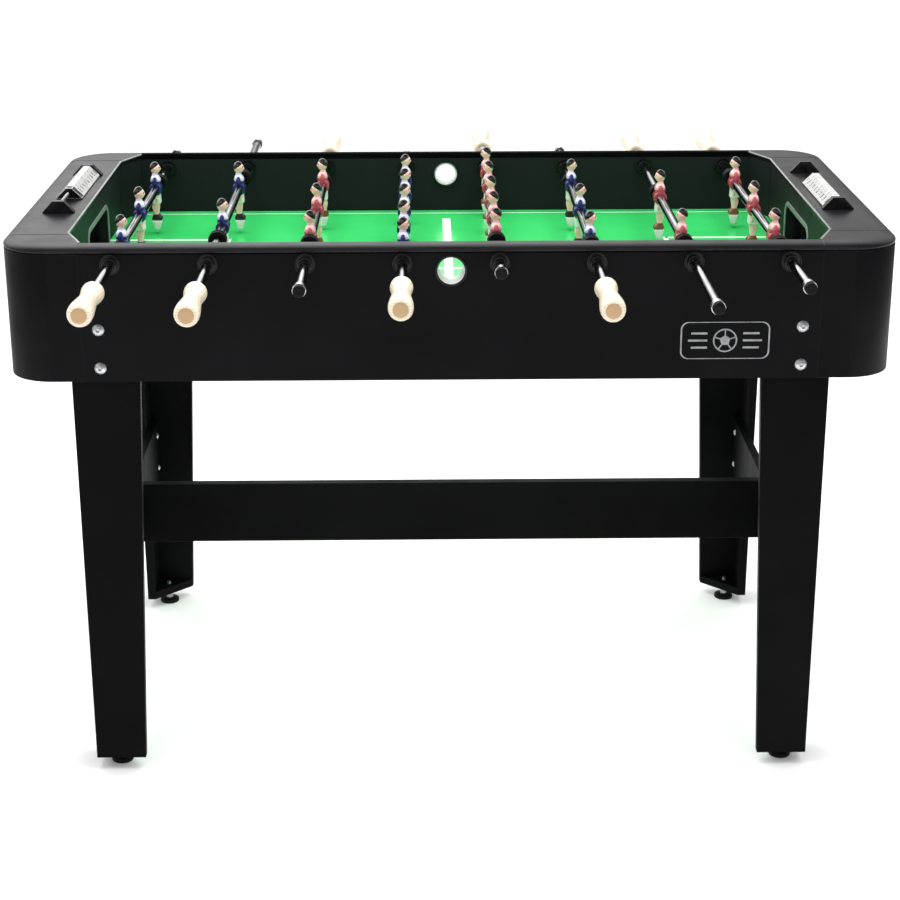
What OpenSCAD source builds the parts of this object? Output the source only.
// Foosball table: a cabinet on four legs, eight sliding and spinning rods with men, and two scorers.
// X runs along the table, Y across it (front at -Y) and Z up from the floor. The origin is on the
// floor, midway between the feet. Goal ends are at -X (blue) and +X (red).

/* [Table] */
// Overall length over the moulded ends
table_length = 1400; // [1360:10:1440]
// Overall width over the front and rear aprons
table_width = 776; // [770:2:800]
// Height of the top rails above the floor
rim_height = 906; // [880:1:930]
// Height of the cabinet from its lower edge to the underside of the rails
cabinet_height = 206; // [200:1:230]
// Plan radius of the four rounded cabinet corners
corner_radius = 75; // [60:1:80]

/* [Playing field] */
// Length of the field from goal wall to goal wall
field_length = 1208; // [1190:2:1210]
// Depth of the field below the top of the rails
field_depth = 110; // [106:1:116]
// Width of each goal mouth
goal_width = 210; // [180:2:230]
// Height of each goal mouth above the field
goal_height = 64; // [55:1:68]

/* [Rods] */
// Outer diameter of the steel rods
rod_diameter = 15.9; // [15:0.1:16.5]
// Distance from one rod to the next
rod_pitch = 150; // [148:1:151]
// Depth of the rod axis below the top of the rails
rod_drop = 28; // [27:1:30]
// Distance from the rod axis down to the underside of a man's foot
foot_reach = 74; // [70:0.5:74]
// Distance from the rod axis up to the top of a man's head
head_reach = 49; // [45:0.5:50]
// Length of a wooden handle
handle_length = 137; // [125:1:140]

/* [Legs] */
// Width of each leg flange at the top
leg_top_width = 108; // [100:1:108]
// Width of each leg flange just above the foot
leg_bottom_width = 82; // [70:1:95]
// Height of the stretchers' lower edge above the floor
stretcher_z = 267; // [200:1:320]
// Height of the stretcher boards themselves
stretcher_height = 111; // [90:1:120]

/* [Hidden] */
$fn = 48;
over = 1; // how far a cutting tool runs past the face it cuts

// Colours
black_board = [0.08, 0.08, 0.09];
rail_grey = [0.42, 0.42, 0.44];
field_green = [0.20, 0.75, 0.36];
wood_pale = [0.93, 0.86, 0.70];
steel = [0.78, 0.79, 0.80];
rubber_black = [0.05, 0.05, 0.05];
blue_team = [0.10, 0.12, 0.45];
red_team = [0.75, 0.12, 0.18];
bead_white = [0.90, 0.90, 0.88];

// Cabinet. Boards are 15 mm thick and the aprons are two boards deep above the legs.
board = 15;
half_length = table_length / 2;
half_width = table_width / 2;
rail_thickness = 10;
rail_z = rim_height - rail_thickness;
cabinet_z = rail_z - cabinet_height;
inner_half_width = half_width - 2 * board;
seam_x = half_length - corner_radius - 50;
goal_x = field_length / 2;
groove = 2.5; // shadow line under the rails
shell_inner_x = half_length - board;

// Rail edge: an elliptical crown over the outer part of every rail
crown_width = 22;
crown_height = 6;
cap_seam_y = half_width - 88;
cap_seam = 1.2; // open joint between an end rail and a corner cap
ramp_start_y = inner_half_width - 70;

// Field
field_z = rim_height - field_depth;
field_board = 9;
mouth_radius = 18;
trim_width = 8;
trim_thickness = 2;

// Ball boxes behind the goals
box_wall = 3;
box_half_width = goal_width / 2 + 20;
box_floor_z = field_z - 56;
box_top_z = rail_z - 14;
outlet_half_width = 80;
outlet_z = field_z - 38;
outlet_height = 50;

// Rods: one row per rod from left to right.
// [team sign (-1 blue, +1 red), number of men, rest offset along Y, outer man to bumper]
RODS = [
    [-1, 3, -37, 52],
    [-1, 2, 23, 90],
    [1, 3, -13, 28],
    [-1, 5, -20, 28],
    [1, 5, 45, 28],
    [-1, 3, -27, 28],
    [1, 2, -70, 36],
    [1, 3, -12, 52]
];
rod_z = rim_height - rod_drop;
rod_r = rod_diameter / 2;
rod_bore_r = rod_r - 2;
fit_gap = 0.05; // radial clearance on the rod
hole_r = rod_r + fit_gap;

function rod_x(i) = (i - 4.5) * rod_pitch;
function team(i) = RODS[i - 1][0];
function men_count(i) = RODS[i - 1][1];
function rest_y(i) = RODS[i - 1][2];
function bumper_offset(i) = RODS[i - 1][3];
function man_spacing(i) = men_count(i) == 2 ? 312 : men_count(i) == 3 ? 215 : 130;
function outer_man(i) = man_spacing(i) * (men_count(i) - 1) / 2;
// Distance from the middle man to the handle's end and to the plain end of the rod
function handle_reach(i) = men_count(i) == 2 ? 708 : men_count(i) == 3 ? 645 : 640;
function plain_reach(i) = men_count(i) == 2 ? 595 : men_count(i) == 3 ? 545 : 505;

// Handle profile along its length
handle_collar_r = 17;
handle_waist_r = 14;
handle_end_r = 18.5;
handle_solid = 27; // closed length beyond the tube

// Bumpers, end cap and ferrule
bumper_r = 15;
bumper_length = 20;
cap_r = 9.3;
cap_length = 8;
cap_depth = 5;
ferrule_r = 10.5;
ferrule_length = 14;

// Bushings and serve cups
bushing_r = 12;
bushing_flange_r = 16.5;
bushing_flange = 3;
bushing_boss = 10;
bushing_boss_r = 11;
serve_z = rim_height - 40;
serve_hole_r = 21;
serve_sleeve_r = 22.5;
serve_flange_r = 25;
serve_flange = 3;

// Men
man_width = 26;
man_depth = 18;
hub_r = 11.5;
head_r = 10.5;
shoe_z = -foot_reach + 16;
bore_gap = 0.03;

// Legs
leg_outer_x = 598;
leg_outer_y = half_width - board;
leg_bottom_z = 22;
leg_top_z = field_z - field_board - 2;
foot_inset = 37;
foot_r = 18.5;
foot_disc = 9;
foot_stem_r = 4;
stem_gap = 0.3;
bolt_inset = leg_outer_x - 549;
bolt_low_z = cabinet_z + 22;
bolt_high_z = cabinet_z + 84;
bolt_r = 3;
bolt_head_r = 9.5;
bolt_head = 5;
nut_r = 7;
nut_length = 6;
stretcher_board = 18;
screw_r = 2.5;
screw_head_r = 6;
screw_head = 3;
screw_low = 22;
screw_high = 88;
screw_y = leg_outer_y - 45;

// Scorers: both stand a little to the rear of the middle
scorer_x = 643;
scorer_y = 10;
scorer_half = 152;
stand_length = 14;
stand_height = 20;
stand_foot = 26;
stand_top = 10;
score_rod_r = 3;
score_rod_z = rim_height + 11;
bead_count = 10;
bead_pitch = 19.5;
bead_length = 19;
bead_height = 18;
bead_foot = 22;
bead_top = 6;
bead_lift = 1; // gap between the rail and the beads
bead_start = scorer_half - stand_length / 2 - 1;

// ---------------------------------------------------------------- helpers

// Copies its children to both ends of the table
module both_ends() {
    children();
    mirror([1, 0, 0]) children();
}

// Copies its children to the front and the rear
module both_sides() {
    children();
    mirror([0, 1, 0]) children();
}

// Block from one corner point to the opposite one
module block(low, high) {
    translate(low) cube(high - low);
}

// Cylinder along Y from y0 to y1
module y_cylinder(y0, y1, r) {
    translate([0, y0, 0]) rotate([-90, 0, 0]) cylinder(h = y1 - y0, r = r);
}

// Rail cross-section: distance in from the outer edge, then height above the rail's underside
function rail_profile(width) = concat(
    [[0, 0], [0, rail_thickness - crown_height]],
    [for (a = [15:15:90]) [
        crown_width * (1 - cos(a)),
        rail_thickness - crown_height + crown_height * sin(a)
    ]],
    [[width, rail_thickness], [width, 0]]
);

// Straight rail along X whose outer edge is at y = -half_width
module rail_along_x(x0, x1, width) {
    translate([x0, -half_width, rail_z]) rotate([90, 0, 90])
        linear_extrude(x1 - x0) polygon(rail_profile(width));
}

// Straight rail along Y whose outer edge is at x = half_length
module rail_along_y(y0, y1, width) {
    translate([half_length, y1, rail_z]) rotate([90, 0, 0])
        linear_extrude(y1 - y0) mirror([1, 0]) polygon(rail_profile(width));
}

// Plan outline of one end of the inner play area, with its slanted corners
module play_outline(depth) {
    translate([0, 0, rail_z - over]) linear_extrude(depth + 2 * over) polygon([
        [0, -inner_half_width], [seam_x, -inner_half_width], [goal_x, -ramp_start_y],
        [goal_x, ramp_start_y], [seam_x, inner_half_width], [0, inner_half_width]
    ]);
}

// ---------------------------------------------------------------- cabinet

// One apron at the front: outer board, inner board with notches for the legs, and the rod holes
module apron() {
    difference() {
        union() {
            block([-seam_x, -half_width, cabinet_z], [seam_x, -leg_outer_y, rail_z]);
            block([-goal_x, -leg_outer_y, leg_top_z + 2], [goal_x, -inner_half_width, rail_z]);
            block([-leg_outer_x + leg_top_width + 1, -leg_outer_y, cabinet_z],
                  [leg_outer_x - leg_top_width - 1, -inner_half_width, leg_top_z + 2]);
        }
        block([-seam_x - over, -half_width - over, rail_z - groove],
              [seam_x + over, -half_width + groove, rail_z + over]);
        for (i = [1:8])
            translate([rod_x(i), 0, rod_z])
                y_cylinder(-half_width - over, -inner_half_width + over, bushing_r);
        translate([0, 0, serve_z])
            y_cylinder(-half_width - over, -inner_half_width + over, serve_sleeve_r);
        both_ends() for (z = [bolt_low_z, bolt_high_z])
            translate([leg_outer_x - bolt_inset, 0, z])
                y_cylinder(-half_width - over, -leg_outer_y + over, bolt_r + stem_gap);
    }
}

module front_apron() {
    color(black_board) apron();
}

module rear_apron() {
    color(black_board) mirror([0, 1, 0]) apron();
}

// Quarter-round plan wall at one corner
module corner_wall(z0, z1, outer_r, inner_r) {
    translate([half_length - corner_radius, half_width - corner_radius, z0])
        rotate_extrude(angle = 90, $fn = 96) translate([inner_r, 0])
            square([outer_r - inner_r, z1 - z0]);
}

// Moulded end wall that wraps round both corners, with the ball outlet
module end_shell() {
    difference() {
        union() {
            both_sides() {
                corner_wall(cabinet_z, rail_z, corner_radius, corner_radius - board);
                block([seam_x, half_width - board, cabinet_z],
                      [half_length - corner_radius, half_width, rail_z]);
            }
            block([shell_inner_x, corner_radius - half_width, cabinet_z],
                  [half_length, half_width - corner_radius, rail_z]);
        }
        both_sides() {
            block([seam_x - over, half_width - groove, rail_z - groove],
                  [half_length - corner_radius, half_width + over, rail_z + over]);
            corner_wall(rail_z - groove, rail_z + over, corner_radius + over,
                        corner_radius - groove);
        }
        block([half_length - groove, corner_radius - half_width, rail_z - groove],
              [half_length + over, half_width - corner_radius, rail_z + over]);
        block([shell_inner_x - over, -outlet_half_width, outlet_z],
              [half_length + over, outlet_half_width, outlet_z + outlet_height]);
    }
}

module right_end_shell() {
    color(black_board) end_shell();
}

module left_end_shell() {
    color(black_board) mirror([1, 0, 0]) end_shell();
}

// Outline of a goal mouth, rounded at its upper corners and grown by a margin
module mouth(margin) {
    half = goal_width / 2 + margin;
    top = goal_height + margin;
    r = mouth_radius + margin;
    translate([-half, 0]) square([2 * half, top - r]);
    translate([-half + r, 0]) square([2 * (half - r), top]);
    for (side = [-1, 1]) translate([side * (half - r), top - r]) circle(r = r);
}

// Places a drawing in the goal wall's plane, starting at x
module in_goal_plane(x, thickness) {
    translate([x, 0, field_z]) rotate([90, 0, 90]) linear_extrude(thickness) children();
}

module goal_wall() {
    difference() {
        block([goal_x, -leg_outer_y, cabinet_z], [goal_x + board, leg_outer_y, rail_z]);
        in_goal_plane(goal_x - over, board + 2 * over) mouth(0);
    }
}

module right_goal_wall() {
    color(black_board) goal_wall();
}

module left_goal_wall() {
    color(black_board) mirror([1, 0, 0]) goal_wall();
}

// Pale trim round both goal mouths
module goal_frames() {
    color(rail_grey) both_ends() in_goal_plane(goal_x - trim_thickness, trim_thickness)
        difference() {
            mouth(trim_width);
            mouth(0);
        }
}

// Catch trays behind the goals, open to the goal and to the outlet
module ball_boxes() {
    x0 = goal_x + board;
    x1 = shell_inner_x;
    color(rubber_black) both_ends() difference() {
        block([x0, -box_half_width, box_floor_z - box_wall], [x1, box_half_width, box_top_z]);
        block([x0 + box_wall, -box_half_width + box_wall, box_floor_z],
              [x1 - box_wall, box_half_width - box_wall, box_top_z + over]);
        in_goal_plane(x0 - over, box_wall + 2 * over) mouth(0);
        block([x1 - box_wall - over, -outlet_half_width, outlet_z],
              [x1 + over, outlet_half_width, outlet_z + outlet_height]);
    }
}

module playfield() {
    color(field_green)
        block([-goal_x, -inner_half_width, field_z - field_board],
              [goal_x, inner_half_width, field_z]);
}

// Battens and a cross brace that carry the playfield
module field_supports() {
    batten = 20;
    joint = 1; // open joint at each end of the cross brace
    under = field_z - field_board;
    batten_x = leg_outer_x - leg_top_width - 4;
    color([0.55, 0.42, 0.28]) {
        both_sides()
            block([-batten_x, -inner_half_width, under - batten],
                  [batten_x, batten - inner_half_width, under]);
        both_ends()
            block([goal_x - board, -leg_outer_y + leg_top_width + 10, under - batten],
                  [goal_x, leg_outer_y - leg_top_width - 10, under]);
        block([-batten / 2, batten + joint - inner_half_width, under - 2 * batten],
              [batten / 2, inner_half_width - batten - joint, under]);
    }
}

// ---------------------------------------------------------------- rails

module front_rail() {
    color(rail_grey) rail_along_x(-seam_x, seam_x, half_width - inner_half_width);
}

module rear_rail() {
    color(rail_grey) mirror([0, 1, 0])
        rail_along_x(-seam_x, seam_x, half_width - inner_half_width);
}

// Wide rails over both ends, which carry the scorers
module end_rails() {
    color(rail_grey) both_ends() difference() {
        rail_along_y(cap_seam - cap_seam_y, cap_seam_y - cap_seam, half_length - seam_x);
        play_outline(rail_thickness);
    }
}

// Rounded corner pieces between the rails
module corner_caps() {
    color(rail_grey) both_ends() both_sides() difference() {
        union() {
            rail_along_x(seam_x, half_length - corner_radius, corner_radius);
            rail_along_y(corner_radius - half_width, -cap_seam_y, corner_radius);
            block([seam_x, corner_radius - half_width, rail_z],
                  [half_length - corner_radius, -cap_seam_y, rim_height]);
            translate([half_length - corner_radius, corner_radius - half_width, rail_z])
                rotate([0, 0, -90]) rotate_extrude(angle = 90, $fn = 96)
                    translate([corner_radius, 0]) mirror([1, 0])
                        polygon(rail_profile(corner_radius));
        }
        play_outline(rail_thickness);
    }
}

// Slanted panels that close the four corners of the play area
module corner_ramps() {
    color(black_board) both_ends() both_sides() translate([0, 0, field_z])
        linear_extrude(rail_z - field_z) polygon([
            [goal_x, ramp_start_y], [goal_x, inner_half_width], [seam_x, inner_half_width]
        ]);
}

// ---------------------------------------------------------------- bushings and cups

// One bushing in the front apron on the Y axis
module bushing() {
    difference() {
        union() {
            y_cylinder(-half_width, -inner_half_width, bushing_r);
            y_cylinder(-half_width - bushing_flange, -half_width, bushing_flange_r);
            y_cylinder(-half_width - bushing_boss, -half_width, bushing_boss_r);
            y_cylinder(-inner_half_width, bushing_flange - inner_half_width, bushing_flange_r);
            y_cylinder(-inner_half_width, bushing_boss - inner_half_width, bushing_boss_r);
        }
        y_cylinder(-half_width - bushing_boss - over, bushing_boss - inner_half_width + over,
                   hole_r);
    }
}

module rod_bushings() {
    color(rubber_black) both_sides() for (i = [1:8]) translate([rod_x(i), 0, rod_z]) bushing();
}

module serve_cups() {
    color(rubber_black) both_sides() translate([0, 0, serve_z]) difference() {
        union() {
            y_cylinder(-half_width, -inner_half_width, serve_sleeve_r);
            y_cylinder(-half_width - serve_flange, -half_width, serve_flange_r);
            y_cylinder(-inner_half_width, serve_flange - inner_half_width, serve_flange_r);
        }
        y_cylinder(-half_width - serve_flange - over, serve_flange - inner_half_width + over,
                   serve_hole_r);
    }
}

// ---------------------------------------------------------------- legs

// Outline of one leg flange: height along the first axis is up, the outer edge is at 0
module flange_outline(top_width, bottom_width) {
    polygon([
        [0, leg_bottom_z], [bottom_width, leg_bottom_z],
        [top_width, cabinet_z], [top_width, leg_top_z], [0, leg_top_z]
    ]);
}

// Front left leg: two tapered flanges at a right angle and a three-cornered foot plate
module leg() {
    difference() {
        union() {
            translate([-leg_outer_x, board - leg_outer_y, 0]) rotate([90, 0, 0])
                linear_extrude(board) flange_outline(leg_top_width, leg_bottom_width);
            translate([-leg_outer_x, board - leg_outer_y, 0]) rotate([90, 0, 90])
                linear_extrude(board)
                    flange_outline(leg_top_width - board, leg_bottom_width - board);
            translate([board - leg_outer_x, board - leg_outer_y, leg_bottom_z])
                linear_extrude(board) polygon([
                    [0, 0], [leg_bottom_width - board, 0], [0, leg_bottom_width - board]
                ]);
        }
        translate([foot_inset - leg_outer_x, foot_inset - leg_outer_y, leg_bottom_z - over])
            cylinder(h = board + 2 * over, r = foot_stem_r + stem_gap);
        for (z = [bolt_low_z, bolt_high_z]) translate([bolt_inset - leg_outer_x, 0, z])
            y_cylinder(-leg_outer_y - over, board - leg_outer_y + over, bolt_r + stem_gap);
        for (z = [screw_low, screw_high])
            translate([-leg_outer_x - over, -screw_y, stretcher_z + z]) rotate([0, 90, 0])
                cylinder(h = board + 2 * over, r = screw_r + stem_gap);
    }
}

module leg_front_left() {
    color(black_board) leg();
}

module leg_front_right() {
    color(black_board) mirror([1, 0, 0]) leg();
}

module leg_rear_left() {
    color(black_board) mirror([0, 1, 0]) leg();
}

module leg_rear_right() {
    color(black_board) mirror([1, 0, 0]) mirror([0, 1, 0]) leg();
}

// Boards that join the front and rear leg at each end
module end_stretchers() {
    inner_x = leg_outer_x - 2 * board;
    color(black_board) both_ends() difference() {
        block([inner_x, -inner_half_width, stretcher_z],
              [leg_outer_x - board, inner_half_width, stretcher_z + stretcher_height]);
        both_sides() for (z = [screw_low, screw_high])
            translate([inner_x - over, screw_y, stretcher_z + z]) rotate([0, 90, 0])
                cylinder(h = board + 2 * over, r = screw_r + stem_gap);
    }
}

// Board along the middle of the table between the end stretchers
module long_stretcher() {
    inner_x = leg_outer_x - 2 * board;
    color(black_board)
        block([-inner_x, -stretcher_board / 2, stretcher_z],
              [inner_x, stretcher_board / 2, stretcher_z + stretcher_height]);
}

// Leg bolt along Y with its domed head at y = 0, and its nut inside the leg
module leg_bolt() {
    grip = 2 * board;
    y_cylinder(0, grip + nut_length, bolt_r);
    difference() {
        dome_r = (bolt_head_r * bolt_head_r + bolt_head * bolt_head) / (2 * bolt_head);
        translate([0, dome_r - bolt_head, 0]) sphere(r = dome_r, $fn = 64);
        block([-bolt_head_r * 2, 0, -bolt_head_r * 2],
              [bolt_head_r * 2, 4 * bolt_head_r, bolt_head_r * 2]);
    }
    translate([0, grip, 0]) rotate([-90, 0, 0]) cylinder(h = nut_length, r = nut_r, $fn = 6);
}

// Screw through an end stretcher into the leg flange, head on the inside
module stretcher_screw() {
    rotate([0, 90, 0]) cylinder(h = 2 * board, r = screw_r);
    translate([-screw_head, 0, 0]) rotate([0, 90, 0])
        cylinder(h = screw_head, r1 = screw_head_r - 2, r2 = screw_head_r);
}

module bolts_and_screws() {
    color(steel) both_ends() both_sides() {
        for (z = [bolt_low_z, bolt_high_z])
            translate([leg_outer_x - bolt_inset, -half_width, z]) leg_bolt();
        for (z = [screw_low, screw_high])
            translate([leg_outer_x - 2 * board, screw_y, stretcher_z + z]) stretcher_screw();
    }
}

// Screw feet under the foot plates
module leveller_feet() {
    color(rubber_black) both_ends() both_sides()
        translate([leg_outer_x - foot_inset, leg_outer_y - foot_inset, 0]) {
            cylinder(h = foot_disc, r = foot_r);
            translate([0, 0, foot_disc]) cylinder(h = leg_bottom_z - foot_disc, r = nut_r);
            cylinder(h = leg_bottom_z + board + nut_length, r = foot_stem_r);
        }
}

// ---------------------------------------------------------------- scorers

// Block with two slanted sides, centred on Y and standing on z = 0
module tent(foot, top, height, length) {
    rotate([90, 0, 0]) linear_extrude(length, center = true)
        polygon([[-foot, 0], [foot, 0], [top, height], [-top, height]]);
}

// End blocks that hold the score rods
module scorer_stands() {
    color(rubber_black) both_ends() translate([scorer_x, scorer_y, 0]) {
        both_sides() translate([0, scorer_half, rim_height])
            tent(stand_foot, stand_top, stand_height, stand_length);
        translate([0, 0, score_rod_z]) y_cylinder(-scorer_half, scorer_half, score_rod_r);
    }
}

// Ten beads on the left score rod, pushed to the rear, and mirrored on the right to the front
module score_beads(side, away) {
    color(bead_white) translate([side * scorer_x, scorer_y, 0])
        for (k = [0:bead_count - 1]) {
            middle = away * (bead_start - bead_pitch * (k + 0.5));
            difference() {
                translate([0, middle, rim_height + bead_lift])
                    tent(bead_foot, bead_top, bead_height, bead_length);
                translate([0, 0, score_rod_z])
                    y_cylinder(middle - bead_length, middle + bead_length, score_rod_r + stem_gap);
            }
        }
}

module left_score_beads() {
    score_beads(-1, 1);
}

module right_score_beads() {
    score_beads(1, -1);
}

// ---------------------------------------------------------------- rods

// Places its children on rod i, turned so that the handle points along -Y
module on_rod(i) {
    translate([rod_x(i), rest_y(i), rod_z]) rotate([0, 0, team(i) < 0 ? 0 : 180]) children();
}

// Steel tube with the ferrule in front of its end cap
module rod(i) {
    tube_start = handle_solid - handle_reach(i);
    cap_face = plain_reach(i) - cap_length;
    color(steel) on_rod(i) difference() {
        union() {
            y_cylinder(tube_start, cap_face + cap_depth, rod_r);
            y_cylinder(cap_face - ferrule_length, cap_face, ferrule_r);
        }
        y_cylinder(tube_start - over, cap_face + cap_depth + over, rod_bore_r);
    }
}

// Outline of a man seen from along the table: half width, then height above the rod
MAN_OUTLINE = [
    [7, -54], [9, -34], [10.5, -14], [13, -4], [13, 12], [11, 21], [4, 24]
];

// One man with a bore for the rod
module man() {
    difference() {
        union() {
            y_cylinder(-man_width / 2, man_width / 2, hub_r);
            rotate([90, 0, 90]) linear_extrude(man_depth, center = true) polygon(concat(
                MAN_OUTLINE,
                [for (k = [len(MAN_OUTLINE) - 1:-1:0]) [-MAN_OUTLINE[k][0], MAN_OUTLINE[k][1]]]
            ));
            cylinder(h = head_reach - head_r, r = 5);
            translate([0, 0, head_reach - head_r]) sphere(r = head_r);
            rotate([90, 0, 0]) linear_extrude(2 * MAN_OUTLINE[0][0] + 6, center = true) polygon([
                [-9, shoe_z + 8], [-10, shoe_z], [-5, -foot_reach], [5, -foot_reach],
                [10, shoe_z], [9, shoe_z + 8]
            ]);
        }
        y_cylinder(-man_width, man_width, rod_r + bore_gap);
    }
}

module men(i) {
    color(team(i) < 0 ? blue_team : red_team) on_rod(i) for (k = [0:men_count(i) - 1])
        translate([0, man_spacing(i) * k - outer_man(i), 0]) man();
}

// Turned handle: distance from the collar end, then radius
HANDLE_OUTLINE = [
    [0, 10], [2, 14], [8, handle_collar_r], [18, handle_collar_r], [34, 15],
    [48, handle_waist_r], [66, 14.5], [90, 16.5], [112, handle_end_r], [128, handle_end_r],
    [134, 17], [handle_length, 14]
];

module handle(i) {
    color(wood_pale) on_rod(i) translate([0, -handle_reach(i), 0]) difference() {
        translate([0, handle_length, 0]) rotate([90, 0, 0]) rotate_extrude($fn = 64) polygon(concat(
            [[0, 0]], [for (p = HANDLE_OUTLINE) [p[1], p[0]]], [[0, handle_length]]
        ));
        y_cylinder(handle_solid, handle_length + over, rod_r + bore_gap);
    }
}

// Two bumper rings beside the outer men and the end cap
module bumpers(i) {
    ring_y = outer_man(i) + bumper_offset(i);
    cap_face = plain_reach(i) - cap_length;
    color(rubber_black) on_rod(i) {
        for (side = [-1, 1]) difference() {
            y_cylinder(side * ring_y - bumper_length / 2, side * ring_y + bumper_length / 2,
                       bumper_r);
            y_cylinder(side * ring_y - bumper_length, side * ring_y + bumper_length,
                       hole_r);
        }
        difference() {
            y_cylinder(cap_face, plain_reach(i), cap_r);
            y_cylinder(cap_face - over, cap_face + cap_depth, hole_r);
        }
    }
}

// ---------------------------------------------------------------- nodes

front_apron();
rear_apron();
left_end_shell();
right_end_shell();
left_goal_wall();
right_goal_wall();
goal_frames();
ball_boxes();
playfield();
field_supports();
front_rail();
rear_rail();
end_rails();
corner_caps();
corner_ramps();
rod_bushings();
serve_cups();
leg_front_left();
leg_front_right();
leg_rear_left();
leg_rear_right();
end_stretchers();
long_stretcher();
bolts_and_screws();
leveller_feet();
scorer_stands();
left_score_beads();
right_score_beads();
rod(1);  // blue_goal_rod
men(1);  // blue_goal_men
handle(1);  // blue_goal_handle
bumpers(1);  // blue_goal_bumpers
rod(2);  // blue_defence_rod
men(2);  // blue_defence_men
handle(2);  // blue_defence_handle
bumpers(2);  // blue_defence_bumpers
rod(3);  // red_attack_rod
men(3);  // red_attack_men
handle(3);  // red_attack_handle
bumpers(3);  // red_attack_bumpers
rod(4);  // blue_midfield_rod
men(4);  // blue_midfield_men
handle(4);  // blue_midfield_handle
bumpers(4);  // blue_midfield_bumpers
rod(5);  // red_midfield_rod
men(5);  // red_midfield_men
handle(5);  // red_midfield_handle
bumpers(5);  // red_midfield_bumpers
rod(6);  // blue_attack_rod
men(6);  // blue_attack_men
handle(6);  // blue_attack_handle
bumpers(6);  // blue_attack_bumpers
rod(7);  // red_defence_rod
men(7);  // red_defence_men
handle(7);  // red_defence_handle
bumpers(7);  // red_defence_bumpers
rod(8);  // red_goal_rod
men(8);  // red_goal_men
handle(8);  // red_goal_handle
bumpers(8);  // red_goal_bumpers
